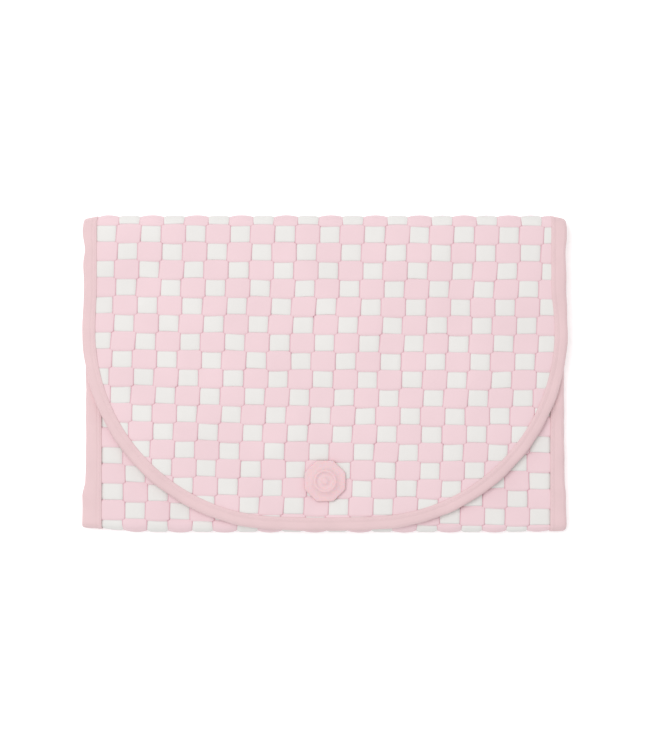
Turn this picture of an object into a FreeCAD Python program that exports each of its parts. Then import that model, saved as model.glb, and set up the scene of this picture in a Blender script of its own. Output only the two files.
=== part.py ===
import FreeCAD, Part
import math
import os

import Sketcher

# A baby changing pad that folds in three, lying closed on its back panel.
# +Z is up, +Y points to the top fold that carries the flap, +X to the right.
# The origin is under the middle of the folded pad, on the surface it lies on.
#
# Layers from the outside of the pad to the inside: straps woven over and under,
# padding, wipe-clean lining.  A binding tape closes every cut edge.

Vector = FreeCAD.Vector

DIMENSIONS = {
    # the folded pad
    "pad_width": 305.0,
    "half_depth": 100.0,
    # the layers of every panel
    "strap_thickness": 1.3,
    "weave_clearance": 0.05,
    "padding_thickness": 2.15,
    "lining_thickness": 0.7,
    "panel_gap": 0.3,
    # the binding tape
    "tape_width": 8.0,
    "tape_wall": 1.2,
    "seam_clearance": 0.2,
    # the weave
    "warp_count": 21.0,
    "warp_cover": 0.8,
    "weft_spacing": 11.4,
    "weft_cover": 0.78,
    # the outlines of the flap and of the front panel
    "flap_corner_radius": 125.0,
    "flap_bottom_radius": 700.0,
    "flap_bottom_edge": -98.5,
    "front_top_edge": 88.0,
    "front_rows": 15.0,
    "front_lower_rows": 8.0,
    # the press stud and the badge over it
    "snap_place": -67.0,
    "snap_disc_radius": 6.0,
    "snap_disc_thickness": 0.7,
    "snap_post_radius": 1.9,
    "stud_knob_radius": 3.0,
    "stud_knob_height": 2.0,
    "socket_clearance": 0.5,
    "socket_depth": 2.1,
    "cap_radius": 7.0,
    "badge_flat_radius": 12.8,
    "badge_thickness": 2.4,
    "badge_edge_round": 0.7,
    "badge_ring_radius": 9.0,
    "badge_ring_width": 1.0,
    "badge_ring_height": 0.5,
    "badge_dot_radius": 2.6,
}

doc = FreeCAD.newDocument("changing_pad")
sheet = doc.addObject("Spreadsheet::Sheet", "Dims")
for row, (alias, number) in enumerate(DIMENSIONS.items(), start=1):
    sheet.set(f"A{row}", alias)
    sheet.set(f"B{row}", str(number))
    sheet.setAlias(f"B{row}", alias)
doc.recompute()


def size(alias):
    """The number that the sheet holds for one driving dimension."""
    return float(getattr(sheet, alias))


# Expressions for the sizes that several pieces share.
WEAVE = "(2 * Dims.strap_thickness + Dims.weave_clearance)"
PANEL = f"({WEAVE} + Dims.padding_thickness + Dims.lining_thickness)"
HALF_WIDTH = "(Dims.pad_width / 2)"
CLOTH_INSET = "(Dims.tape_width + Dims.seam_clearance)"
PADDING_INSET = "(Dims.tape_wall + Dims.seam_clearance)"
BOTTOM_FOLD_RADIUS = f"({PANEL} + Dims.panel_gap / 2)"
TOP_FOLD_RADIUS = f"(1.5 * {PANEL} + Dims.panel_gap)"
BOTTOM_TANGENT = f"(-Dims.half_depth + {BOTTOM_FOLD_RADIUS})"
TOP_TANGENT = f"(Dims.half_depth - {TOP_FOLD_RADIUS})"
BACK_FLOOR = "0 mm"
FRONT_FLOOR = f"({PANEL} + Dims.panel_gap)"
FLAP_FLOOR = f"(2 * {PANEL} + 2 * Dims.panel_gap)"
PAD_TOP = f"(3 * {PANEL} + 2 * Dims.panel_gap)"
FRONT_CLOTH_EDGE = f"(Dims.front_top_edge - {CLOTH_INSET})"
FRONT_SPLIT = (
    f"({BOTTOM_TANGENT} + ({FRONT_CLOTH_EDGE} - {BOTTOM_TANGENT})"
    " * Dims.front_lower_rows / Dims.front_rows)"
)

# The same sizes as numbers, for the pieces whose shape is worked out here.
weave = 2 * size("strap_thickness") + size("weave_clearance")
panel = weave + size("padding_thickness") + size("lining_thickness")
half_width = size("pad_width") / 2
cloth_inset = size("tape_width") + size("seam_clearance")
bottom_fold_radius = panel + size("panel_gap") / 2
top_fold_radius = 1.5 * panel + size("panel_gap")
bottom_tangent = -size("half_depth") + bottom_fold_radius
top_tangent = size("half_depth") - top_fold_radius
front_floor = panel + size("panel_gap")
flap_floor = 2 * panel + 2 * size("panel_gap")
pad_top = 3 * panel + 2 * size("panel_gap")
front_cloth_edge = size("front_top_edge") - cloth_inset
front_split = bottom_tangent + (
    (front_cloth_edge - bottom_tangent) * size("front_lower_rows") / size("front_rows")
)
snap_place = size("snap_place")

# Every node that is written to a file.
nodes = []


def origin_plane(body, role):
    """One of a body's own origin planes, found by its role, such as XY_Plane."""
    return next(f for f in body.Origin.OriginFeatures if f.Role == role)


def new_sketch(body, name, role="XY_Plane", lift=None):
    """A sketch on an origin plane of its own body, raised along the plane's normal."""
    sketch = body.newObject("Sketcher::SketchObject", name)
    sketch.AttachmentSupport = [(origin_plane(body, role), "")]
    sketch.MapMode = "FlatFace"
    if lift:
        sketch.setExpression(".AttachmentOffset.Base.z", lift)
    return sketch


def bind(sketch, name, constraint, expression):
    """Adds a named dimension to a sketch and binds it to the sheet."""
    index = sketch.addConstraint(constraint)
    sketch.renameConstraint(index, name)
    sketch.setExpression(f"Constraints.{name}", expression)


def close_loop(sketch, edges):
    """Joins each edge's end to the next edge's start, all round."""
    for edge, following in zip(edges, edges[1:] + edges[:1]):
        sketch.addConstraint(Sketcher.Constraint("Coincident", edge, 2, following, 1))


def draw_rectangle(sketch, name, half_x, low_y, high_y):
    """A rectangle centred on x = 0 between two heights, all three given as expressions."""
    corners = [(-1, -1), (1, -1), (1, 1), (-1, 1)]
    start = sketch.GeometryCount
    for (ax, ay), (bx, by) in zip(corners, corners[1:] + corners[:1]):
        sketch.addGeometry(Part.LineSegment(Vector(10 * ax, ay, 0), Vector(10 * bx, by, 0)))
    low, right, high, left = range(start, start + 4)
    close_loop(sketch, [low, right, high, left])
    sketch.addConstraint(Sketcher.Constraint("Horizontal", high))
    sketch.addConstraint(Sketcher.Constraint("Vertical", right))
    sketch.addConstraint(Sketcher.Constraint("Vertical", left))
    sketch.addConstraint(Sketcher.Constraint("Symmetric", low, 1, low, 2, -2))
    across = Sketcher.Constraint("DistanceX", low, 1, low, 2, 20.0)
    bind(sketch, f"{name}_across", across, f"2 * {half_x}")
    lower = Sketcher.Constraint("DistanceY", -1, 1, low, 1, -1.0)
    bind(sketch, f"{name}_low", lower, low_y)
    upper = Sketcher.Constraint("DistanceY", -1, 1, high, 1, 1.0)
    bind(sketch, f"{name}_high", upper, high_y)


def draw_circle(sketch, name, radius, centre_y=None):
    """A circle on x = 0, at the origin or at a height given as an expression."""
    ring = sketch.addGeometry(Part.Circle(Vector(0, -1, 0), Vector(0, 0, 1), 2))
    if centre_y is None:
        sketch.addConstraint(Sketcher.Constraint("Coincident", ring, 3, -1, 1))
    else:
        sketch.addConstraint(Sketcher.Constraint("PointOnObject", ring, 3, -2))
        place = Sketcher.Constraint("DistanceY", -1, 1, ring, 3, -1.0)
        bind(sketch, f"{name}_place", place, centre_y)
    bind(sketch, f"{name}_radius", Sketcher.Constraint("Radius", ring, 2.0), radius)


def flap_outline(inset):
    """The D-shaped outline of the flap, moved in by inset: left side, arcs, right side, top."""
    half_x = half_width - inset
    corner = size("flap_corner_radius") - inset
    bottom = size("flap_bottom_radius") - inset
    corner_x = half_x - corner
    centre_y = size("flap_bottom_edge") + size("flap_bottom_radius")
    corner_y = centre_y - math.sqrt((bottom - corner) ** 2 - corner_x**2)
    lean = math.atan2(corner_x, centre_y - corner_y)
    normal = Vector(0, 0, 1)
    left_circle = Part.Circle(Vector(-corner_x, corner_y, 0), normal, corner)
    bottom_circle = Part.Circle(Vector(0, centre_y, 0), normal, bottom)
    right_circle = Part.Circle(Vector(corner_x, corner_y, 0), normal, corner)
    left_top = Vector(-half_x, top_tangent, 0)
    right_top = Vector(half_x, top_tangent, 0)
    down = 1.5 * math.pi
    return [
        Part.LineSegment(left_top, Vector(-half_x, corner_y, 0)),
        Part.ArcOfCircle(left_circle, math.pi, down - lean),
        Part.ArcOfCircle(bottom_circle, down - lean, down + lean),
        Part.ArcOfCircle(right_circle, down + lean, 2 * math.pi),
        Part.LineSegment(Vector(half_x, corner_y, 0), right_top),
        Part.LineSegment(right_top, left_top),
    ]


def draw_flap_outline(sketch, name, inset, inset_number):
    """The flap's outline in a sketch, with its sizes bound to the sheet."""
    left, left_arc, low_arc, right_arc, right, top = sketch.addGeometry(flap_outline(inset_number))
    curve = [left, left_arc, low_arc, right_arc, right]
    for edge, following in zip(curve, curve[1:]):
        sketch.addConstraint(Sketcher.Constraint("Tangent", edge, 2, following, 1))
    sketch.addConstraint(Sketcher.Constraint("Coincident", right, 2, top, 1))
    sketch.addConstraint(Sketcher.Constraint("Coincident", top, 2, left, 1))
    sketch.addConstraint(Sketcher.Constraint("Vertical", left))
    sketch.addConstraint(Sketcher.Constraint("Symmetric", top, 1, top, 2, -2))
    sketch.addConstraint(Sketcher.Constraint("Equal", left_arc, right_arc))
    sketch.addConstraint(Sketcher.Constraint("PointOnObject", low_arc, 3, -2))
    across = Sketcher.Constraint("DistanceX", top, 2, top, 1, 2 * (half_width - inset_number))
    bind(sketch, f"{name}_across", across, f"Dims.pad_width - 2 * {inset}")
    upper = Sketcher.Constraint("DistanceY", -1, 1, top, 1, top_tangent)
    bind(sketch, f"{name}_top", upper, TOP_TANGENT)
    corner = Sketcher.Constraint("Radius", right_arc, size("flap_corner_radius") - inset_number)
    bind(sketch, f"{name}_corner", corner, f"Dims.flap_corner_radius - {inset}")
    bottom = Sketcher.Constraint("Radius", low_arc, size("flap_bottom_radius") - inset_number)
    bind(sketch, f"{name}_bottom", bottom, f"Dims.flap_bottom_radius - {inset}")
    centre_y = size("flap_bottom_radius") + size("flap_bottom_edge")
    centre = Sketcher.Constraint("DistanceY", -1, 1, low_arc, 3, centre_y)
    bind(sketch, f"{name}_centre", centre, "Dims.flap_bottom_radius + Dims.flap_bottom_edge")


def new_body(label):
    """An empty body that becomes one node."""
    body = doc.addObject("PartDesign::Body", label)
    body.Label = label
    nodes.append(body)
    return body


def pad(body, sketch, length):
    """Raises a sketch by a length given as an expression."""
    feature = body.newObject("PartDesign::Pad", f"{body.Label}_pad")
    feature.Profile = sketch
    feature.setExpression("Length", length)
    doc.recompute()
    return feature


def pocket_up(body, sketch, length):
    """Cuts upwards from a sketch, and stops if that cuts nothing."""
    before = body.Shape.Volume
    feature = body.newObject("PartDesign::Pocket", f"{sketch.Label}_pocket")
    feature.Profile = sketch
    feature.Reversed = True
    feature.setExpression("Length", length)
    doc.recompute()
    if not body.Shape.Volume < before:
        raise RuntimeError(f"{feature.Label} cuts nothing")
    return feature


def plate(label, low_z, thickness, half_x, low_y, high_y, hole=None):
    """A rectangular layer of a panel, with a hole for the press stud where it has one."""
    body = new_body(label)
    sketch = new_sketch(body, f"{label}_outline", lift=low_z)
    draw_rectangle(sketch, "layer", half_x, low_y, high_y)
    if hole:
        draw_circle(sketch, "hole", hole, "Dims.snap_place")
    pad(body, sketch, thickness)


def flap_plate(label, low_z, thickness, inset, inset_number, hole):
    """A D-shaped layer of the flap, with the hole for the press stud."""
    body = new_body(label)
    sketch = new_sketch(body, f"{label}_outline", lift=low_z)
    draw_flap_outline(sketch, "layer", inset, inset_number)
    draw_circle(sketch, "hole", hole, "Dims.snap_place")
    pad(body, sketch, thickness)


def flap_binding():
    """The tape round the flap, folded over the edge of its padding."""
    body = new_body("flap_binding")
    tape = new_sketch(body, "flap_tape", lift=FLAP_FLOOR)
    draw_flap_outline(tape, "outer", "0", 0)
    pad(body, tape, PANEL)
    inside = new_sketch(body, "flap_tape_inside", lift=FLAP_FLOOR)
    draw_flap_outline(inside, "inner", "Dims.tape_width", size("tape_width"))
    pocket_up(body, inside, PANEL)
    slot = new_sketch(body, "flap_tape_slot", lift=f"{FLAP_FLOOR} + Dims.lining_thickness")
    draw_flap_outline(slot, "slot", "Dims.tape_wall", size("tape_wall"))
    pocket_up(body, slot, "Dims.padding_thickness")


def front_upper_binding():
    """The tape round the upper sides and the free edge of the front panel."""
    body = new_body("front_upper_binding")
    tape = new_sketch(body, "front_tape", lift=FRONT_FLOOR)
    draw_rectangle(tape, "outer", HALF_WIDTH, FRONT_SPLIT, "Dims.front_top_edge")
    pad(body, tape, PANEL)
    inside = new_sketch(body, "front_tape_inside", lift=FRONT_FLOOR)
    inner_edge = "(Dims.front_top_edge - Dims.tape_width)"
    draw_rectangle(inside, "inner", f"({HALF_WIDTH} - Dims.tape_width)", FRONT_SPLIT, inner_edge)
    pocket_up(body, inside, PANEL)
    slot = new_sketch(body, "front_tape_slot", lift=f"{FRONT_FLOOR} + Dims.lining_thickness")
    slot_edge = "(Dims.front_top_edge - Dims.tape_wall)"
    draw_rectangle(slot, "slot", f"({HALF_WIDTH} - Dims.tape_wall)", FRONT_SPLIT, slot_edge)
    pocket_up(body, slot, "Dims.padding_thickness")


def side_bindings(panel_name, low_z, slot_z, low_y, high_y):
    """The tapes along the two sides of a panel, each folded over the padding's edge."""
    outer_sides = {
        "left": "-Dims.pad_width / 2",
        "right": "Dims.pad_width / 2 - Dims.tape_width",
    }
    slot_sides = {"left": "-Dims.pad_width / 2 + Dims.tape_wall", "right": outer_sides["right"]}
    for side, outer_x in outer_sides.items():
        label = f"{panel_name}_{side}_binding"
        tape = doc.addObject("Part::Box", f"{label}_tape")
        slot = doc.addObject("Part::Box", f"{label}_slot")
        for box, corner_x, corner_z in ((tape, outer_x, low_z), (slot, slot_sides[side], slot_z)):
            box.setExpression("Width", f"{high_y} - {low_y}")
            box.setExpression(".Placement.Base.x", corner_x)
            box.setExpression(".Placement.Base.y", low_y)
            box.setExpression(".Placement.Base.z", corner_z)
        tape.setExpression("Length", "Dims.tape_width")
        tape.setExpression("Height", PANEL)
        slot.setExpression("Length", "Dims.tape_width - Dims.tape_wall")
        slot.setExpression("Height", "Dims.padding_thickness")
        binding = doc.addObject("Part::Cut", label)
        binding.Base = tape
        binding.Tool = slot
        binding.Label = label
        nodes.append(binding)


def shape_node(label, solids):
    """A node whose solids are worked out here: one solid, or a group of like ones."""
    feature = doc.addObject("Part::Feature", label)
    feature.Label = label
    feature.Shape = solids[0] if len(solids) == 1 else Part.makeCompound(solids)
    feature.Placement = FreeCAD.Placement()
    nodes.append(feature)


def spread(low, high, count):
    """The middles of count equal bands between two places, and one band's width."""
    step = (high - low) / count
    return [low + step * (i + 0.5) for i in range(count)], step


def woven_strap(ends, crossings, half_flat, levels, thickness, point, sweep):
    """A strap that steps between two levels, flat over each crossing."""
    first, last = ends
    starts = [first] + [c - half_flat for c in crossings[1:]]
    stops = [c + half_flat for c in crossings[:-1]] + [last]
    lower = []
    for start, stop, level in zip(starts, stops, levels):
        lower += [(start, level), (stop, level)]
    upper = [(along, level + thickness) for along, level in reversed(lower)]
    outline = [point(along, level) for along, level in lower + upper]
    face = Part.Face(Part.makePolygon(outline + outline[:1]))
    return face.extrude(sweep)


def within_band(solids, low_y, high_y):
    """The pieces of the solids that lie between two places along Y."""
    corner = Vector(-half_width, low_y, 0)
    band = Part.makeBox(2 * half_width, high_y - low_y, 2 * pad_top, corner)
    return [piece for solid in solids for piece in solid.common(band).Solids]


def weave_panel(panel_name, low_y, high_y, low_z, outer_is_up, trim=None, split=None):
    """The straps of one panel: warp straps along Y and weft straps along X, interlaced."""
    strap = size("strap_thickness")
    far = strap + size("weave_clearance")
    inner_level, outer_level = (low_z, low_z + far) if outer_is_up else (low_z + far, low_z)
    cloth_edge = half_width - cloth_inset
    warps, warp_step = spread(-cloth_edge, cloth_edge, round(size("warp_count")))
    rows = round((high_y - low_y) / size("weft_spacing"))
    wefts, weft_step = spread(low_y, high_y, rows)
    warp_half = warp_step * size("warp_cover") / 2
    weft_half = weft_step * size("weft_cover") / 2
    middle_warp = len(warps) // 2
    middle_row = rows // 2

    def warp_outside(column, row):
        return (column - middle_warp + row - middle_row) % 2 == 0

    warp_solids = []
    for column, x in enumerate(warps):
        levels = [outer_level if warp_outside(column, r) else inner_level for r in range(rows)]
        point = lambda along, level, x=x: Vector(x - warp_half, along, level)
        sweep = Vector(2 * warp_half, 0, 0)
        warp_solids.append(woven_strap((low_y, high_y), wefts, weft_half, levels, strap, point, sweep))
    weft_solids = []
    for row, y in enumerate(wefts):
        levels = [inner_level if warp_outside(c, row) else outer_level for c in range(len(warps))]
        point = lambda along, level, y=y: Vector(along, y - weft_half, level)
        sweep = Vector(0, 2 * weft_half, 0)
        ends = (warps[0] - warp_half, warps[-1] + warp_half)
        weft_solids.append(woven_strap(ends, warps, warp_half, levels, strap, point, sweep))
    if trim:
        warp_solids = trim(warp_solids)
        weft_solids = trim(weft_solids)
    for kind, solids in (("warp", warp_solids), ("weft", weft_solids)):
        if split is None:
            shape_node(f"{panel_name}_{kind}_straps", solids)
        else:
            lower = within_band(solids, low_y, split)
            shape_node(f"{panel_name}_lower_{kind}_straps", lower)
            upper = within_band(solids, split, high_y)
            shape_node(f"{panel_name}_upper_{kind}_straps", upper)


def flap_prism(inset, low_z, height):
    """The space inside the flap's outline, moved in by inset."""
    face = Part.Face(Part.Wire([edge.toShape() for edge in flap_outline(inset)]))
    face.translate(Vector(0, 0, low_z))
    return face.extrude(Vector(0, 0, height))


def post_hole(radius):
    """The hole that the press stud needs through the straps of a panel."""
    return Part.makeCylinder(radius, 2 * pad_top, Vector(0, snap_place, 0))


def trim_to_flap(solids):
    """Cuts straps to the flap's outline and pierces them, and drops scraps of strap."""
    scrap = size("tape_width") * size("strap_thickness")
    inside = flap_prism(cloth_inset, flap_floor, 2 * panel)
    hole = post_hole(size("snap_post_radius"))
    kept = []
    for solid in solids:
        cut = solid.common(inside).cut(hole)
        kept += [piece for piece in cut.Solids if piece.Volume > scrap]
    return kept


def pierce_for_stud(solids):
    """Makes room for the disc of the stud in the straps of the front panel."""
    hole = post_hole(size("snap_disc_radius") + size("seam_clearance"))
    return [piece for solid in solids for piece in solid.cut(hole).Solids]


def half_ring(fold, inner, outer, low_x, length, start=0.0, stop=180.0):
    """A stretch of ring round a fold, in degrees from the back panel round to the top."""
    centre_y, centre_z, towards = fold

    def at(radius, degrees):
        turn = math.radians(degrees)
        y = centre_y + towards * radius * math.sin(turn)
        return Vector(low_x, y, centre_z - radius * math.cos(turn))

    middle = (start + stop) / 2
    edges = [
        Part.Arc(at(outer, start), at(outer, middle), at(outer, stop)),
        Part.LineSegment(at(outer, stop), at(inner, stop)),
        Part.Arc(at(inner, stop), at(inner, middle), at(inner, start)),
        Part.LineSegment(at(inner, start), at(outer, start)),
    ]
    face = Part.Face(Part.Wire([edge.toShape() for edge in edges]))
    return face.extrude(Vector(length, 0, 0))


def fold_pieces(fold_name, fold, outer):
    """The stretch of pad that bends round one fold, as separate layers."""
    strap = size("strap_thickness")
    cloth_low = -half_width + cloth_inset
    cloth_long = 2 * (half_width - cloth_inset)
    warps, warp_step = spread(cloth_low, -cloth_low, round(size("warp_count")))
    warp_half = warp_step * size("warp_cover") / 2
    straps = [half_ring(fold, outer - strap, outer, x - warp_half, 2 * warp_half) for x in warps]
    shape_node(f"{fold_name}_warp_straps", straps)
    weft_outer = outer - strap - size("weave_clearance")
    weft_inner = weft_outer - strap
    margin = 90 * (1 - size("weft_cover")) / 2
    wefts = []
    for start in (0.0, 90.0):
        span = (start + margin, start + 90 - margin)
        wefts.append(half_ring(fold, weft_inner, weft_outer, cloth_low, cloth_long, *span))
    shape_node(f"{fold_name}_weft_straps", wefts)
    padding_outer = outer - weave
    lining_outer = padding_outer - size("padding_thickness")
    lining_inner = outer - panel
    padding = half_ring(fold, lining_outer, padding_outer, cloth_low, cloth_long)
    shape_node(f"{fold_name}_padding", [padding])
    lining = half_ring(fold, lining_inner, lining_outer, cloth_low, cloth_long)
    shape_node(f"{fold_name}_lining", [lining])
    tape = size("tape_width")
    sides = (-half_width, half_width - tape)
    tapes = [half_ring(fold, lining_inner, outer, side, tape) for side in sides]
    shape_node(f"{fold_name}_bindings", tapes)


def turned_body(label, profile):
    """A round piece of the press stud, from the radius and height of each corner."""
    body = new_body(label)
    sketch = new_sketch(body, f"{label}_profile", role="XZ_Plane", lift="-Dims.snap_place")
    corners = [Vector(radius, height, 0) for radius, height in profile]
    sides = zip(corners, corners[1:] + corners[:1])
    edges = sketch.addGeometry([Part.LineSegment(a, b) for a, b in sides])
    close_loop(sketch, list(edges))
    for edge in edges:
        sketch.addConstraint(Sketcher.Constraint("Block", edge))
    turned = body.newObject("PartDesign::Revolution", f"{label}_turned")
    turned.Profile = sketch
    turned.ReferenceAxis = (sketch, ["V_Axis"])
    turned.Angle = 360
    doc.recompute()


def press_stud():
    """The stud and its washer on the front panel, the socket and its cap on the flap."""
    disc = size("snap_disc_radius")
    thin = size("snap_disc_thickness")
    post = size("snap_post_radius")
    knob = size("stud_knob_radius")
    front_top = front_floor + panel
    washer_top = front_floor + size("lining_thickness")
    washer = [(0, front_floor), (disc, front_floor), (disc, washer_top), (0, washer_top)]
    turned_body("stud_washer", washer)
    stud_low = front_top - thin
    knob_top = front_top + size("stud_knob_height")
    stud = [
        (0, washer_top),
        (post, washer_top),
        (post, stud_low),
        (disc, stud_low),
        (disc, front_top),
        (knob - thin / 2, front_top),
        (knob, front_top + thin),
        (knob, knob_top - thin / 2),
        (knob - thin / 2, knob_top),
        (0, knob_top),
    ]
    turned_body("snap_stud", stud)
    mouth = knob + size("socket_clearance")
    hollow_top = flap_floor + size("socket_depth")
    socket_top = hollow_top + thin
    socket = [
        (mouth, flap_floor),
        (disc, flap_floor),
        (disc, hollow_top),
        (disc - thin, socket_top),
        (0, socket_top),
        (0, hollow_top),
        (mouth, hollow_top),
    ]
    turned_body("snap_socket", socket)
    cap = size("cap_radius")
    cap_top = pad_top + thin
    rivet = [
        (0, socket_top),
        (post, socket_top),
        (post, pad_top),
        (cap, pad_top),
        (cap, cap_top),
        (0, cap_top),
    ]
    turned_body("snap_cap", rivet)


def is_top_edge(edge):
    """True for an edge that lies in the badge's top face."""
    top = pad_top + size("badge_thickness")
    return all(abs(vertex.Z - top) < size("weave_clearance") for vertex in edge.Vertexes)


def draw_octagon(sketch, flat_radius):
    """A regular octagon round the press stud, with flat sides to the left and right."""
    across_corners = flat_radius / math.cos(math.pi / 8)
    turns = [math.pi / 8 + i * math.pi / 4 for i in range(8)]
    corners = [
        Vector(across_corners * math.cos(turn), snap_place + across_corners * math.sin(turn), 0)
        for turn in turns
    ]
    pairs = zip(corners, corners[1:] + corners[:1])
    sides = list(sketch.addGeometry([Part.LineSegment(a, b) for a, b in pairs]))
    guide_circle = Part.Circle(Vector(0, snap_place, 0), Vector(0, 0, 1), across_corners)
    guide = sketch.addGeometry(guide_circle, True)
    close_loop(sketch, sides)
    for side in sides:
        sketch.addConstraint(Sketcher.Constraint("PointOnObject", side, 1, guide))
    for side in sides[1:]:
        sketch.addConstraint(Sketcher.Constraint("Equal", sides[0], side))
    sketch.addConstraint(Sketcher.Constraint("Horizontal", sides[1]))
    sketch.addConstraint(Sketcher.Constraint("PointOnObject", guide, 3, -2))
    place = Sketcher.Constraint("DistanceY", -1, 1, guide, 3, snap_place)
    bind(sketch, "octagon_place", place, "Dims.snap_place")
    radius = Sketcher.Constraint("Radius", guide, across_corners)
    bind(sketch, "octagon_radius", radius, "Dims.badge_flat_radius / cos(22.5 deg)")


def badge():
    """The moulded octagonal badge over the cap, with a raised ring and a dot."""
    body = new_body("badge")
    outline = new_sketch(body, "badge_outline", lift=PAD_TOP)
    draw_octagon(outline, size("badge_flat_radius"))
    raised = pad(body, outline, "Dims.badge_thickness")
    edges = [f"Edge{i}" for i, edge in enumerate(raised.Shape.Edges, start=1) if is_top_edge(edge)]
    rounded = body.newObject("PartDesign::Fillet", "badge_round")
    rounded.Base = (raised, edges)
    rounded.setExpression("Radius", "Dims.badge_edge_round")
    doc.recompute()
    face = f"{PAD_TOP} + Dims.badge_thickness"
    ring = new_sketch(body, "badge_ring", lift=face)
    draw_circle(ring, "outer", "Dims.badge_ring_radius", "Dims.snap_place")
    draw_circle(ring, "inner", "Dims.badge_ring_radius - Dims.badge_ring_width", "Dims.snap_place")
    pad(body, ring, "Dims.badge_ring_height")
    dot = new_sketch(body, "badge_dot", lift=face)
    draw_circle(dot, "dot", "Dims.badge_dot_radius", "Dims.snap_place")
    pad(body, dot, "Dims.badge_ring_height")
    recess = new_sketch(body, "badge_recess", lift=PAD_TOP)
    draw_circle(recess, "recess", "Dims.cap_radius + Dims.seam_clearance", "Dims.snap_place")
    pocket_up(body, recess, "Dims.snap_disc_thickness + Dims.weave_clearance")


# The back panel lies straps down, with its lining inside the folded pad.
cloth_half = f"({HALF_WIDTH} - {CLOTH_INSET})"
padding_half = f"({HALF_WIDTH} - {PADDING_INSET})"
back_lining_floor = f"({WEAVE} + Dims.padding_thickness)"
plate("back_padding", WEAVE, "Dims.padding_thickness", padding_half, BOTTOM_TANGENT, TOP_TANGENT)
plate("back_lining", back_lining_floor, "Dims.lining_thickness", cloth_half, BOTTOM_TANGENT, TOP_TANGENT)
side_bindings("back", BACK_FLOOR, WEAVE, BOTTOM_TANGENT, TOP_TANGENT)
weave_panel("back", bottom_tangent, top_tangent, 0.0, outer_is_up=False)

# The front panel is folded up over the back one, straps up.  Its upper half bends on its
# own when the pad opens, so it is separate from the lower half that carries the stud.
disc_hole = "(Dims.snap_disc_radius + Dims.seam_clearance)"
post_hole_size = "(Dims.snap_post_radius + Dims.seam_clearance)"
front_padding_floor = f"({FRONT_FLOOR} + Dims.lining_thickness)"
front_padding_edge = f"(Dims.front_top_edge - {PADDING_INSET})"
for half, low_edge, cloth_edge, padding_edge, stud_holes in (
    ("lower", BOTTOM_TANGENT, FRONT_SPLIT, FRONT_SPLIT, (disc_hole, post_hole_size)),
    ("upper", FRONT_SPLIT, FRONT_CLOTH_EDGE, front_padding_edge, (None, None)),
):
    lining = f"front_{half}_lining"
    plate(lining, FRONT_FLOOR, "Dims.lining_thickness", cloth_half, low_edge, cloth_edge, stud_holes[0])
    padding = f"front_{half}_padding"
    thickness = "Dims.padding_thickness"
    plate(padding, front_padding_floor, thickness, padding_half, low_edge, padding_edge, stud_holes[1])
side_bindings("front_lower", FRONT_FLOOR, front_padding_floor, BOTTOM_TANGENT, FRONT_SPLIT)
front_upper_binding()
weave_panel(
    "front",
    bottom_tangent,
    front_cloth_edge,
    front_floor + panel - weave,
    outer_is_up=True,
    trim=pierce_for_stud,
    split=front_split,
)

# The flap is folded down over both of them, straps up.
flap_plate("flap_lining", FLAP_FLOOR, "Dims.lining_thickness", CLOTH_INSET, cloth_inset, disc_hole)
flap_plate(
    "flap_padding",
    f"{FLAP_FLOOR} + Dims.lining_thickness",
    "Dims.padding_thickness",
    PADDING_INSET,
    size("tape_wall") + size("seam_clearance"),
    disc_hole,
)
flap_binding()
weave_panel(
    "flap",
    size("flap_bottom_edge") + cloth_inset,
    top_tangent,
    pad_top - weave,
    outer_is_up=True,
    trim=trim_to_flap,
)

# The two folds, then the closure.
fold_pieces("bottom_fold", (bottom_tangent, bottom_fold_radius, -1), bottom_fold_radius)
fold_pieces("top_fold", (top_tangent, top_fold_radius, 1), top_fold_radius)
press_stud()
badge()

doc.recompute()

for thing in doc.Objects:
    if {"Invalid", "Error"} & set(thing.State):
        raise RuntimeError(f"{thing.Label} failed: {thing.State}")
for node in nodes:
    if node.Shape.isNull() or not node.Shape.isValid():
        raise RuntimeError(f"{node.Label} has no valid shape")

os.makedirs("parts", exist_ok=True)
for node in nodes:
    node.Shape.exportStep(f"parts/{node.Label}.step")
    print(f"{node.Label}: {len(node.Shape.Solids)} solids, {node.Shape.Volume:.1f} mm3")
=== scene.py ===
import math
from collections import namedtuple

import bmesh
import bpy
import numpy as np
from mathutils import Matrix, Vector


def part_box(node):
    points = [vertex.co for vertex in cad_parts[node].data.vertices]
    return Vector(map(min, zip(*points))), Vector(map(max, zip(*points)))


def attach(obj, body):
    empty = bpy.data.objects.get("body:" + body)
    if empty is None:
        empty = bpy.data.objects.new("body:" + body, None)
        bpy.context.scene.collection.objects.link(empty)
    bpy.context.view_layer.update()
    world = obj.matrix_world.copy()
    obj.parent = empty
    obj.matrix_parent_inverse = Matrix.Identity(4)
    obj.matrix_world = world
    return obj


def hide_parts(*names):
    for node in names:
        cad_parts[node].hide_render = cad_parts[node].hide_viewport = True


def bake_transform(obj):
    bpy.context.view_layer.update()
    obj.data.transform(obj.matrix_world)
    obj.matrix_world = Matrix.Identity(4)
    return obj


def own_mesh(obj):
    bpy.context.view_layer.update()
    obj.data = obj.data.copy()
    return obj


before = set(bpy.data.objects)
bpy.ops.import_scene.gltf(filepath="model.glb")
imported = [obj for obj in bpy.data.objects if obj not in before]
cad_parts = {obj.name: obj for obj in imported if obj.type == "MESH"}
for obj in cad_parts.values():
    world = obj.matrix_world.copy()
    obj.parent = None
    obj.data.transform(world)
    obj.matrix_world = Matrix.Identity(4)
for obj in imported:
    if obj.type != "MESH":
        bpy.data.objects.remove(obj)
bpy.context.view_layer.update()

# A folding changing pad, closed.  The pad is one long strip: the front panel goes down to
# the bottom fold, the back panel runs under it to the top fold, and the flap comes down
# over both.  A place on the strip is (x, s, n): x is across, s runs along the strip from the
# top fold's edge on the flap (s = 0, down the flap is positive, round to the front panel
# is negative), and n is how far it stands out from the middle of the woven straps.

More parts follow.
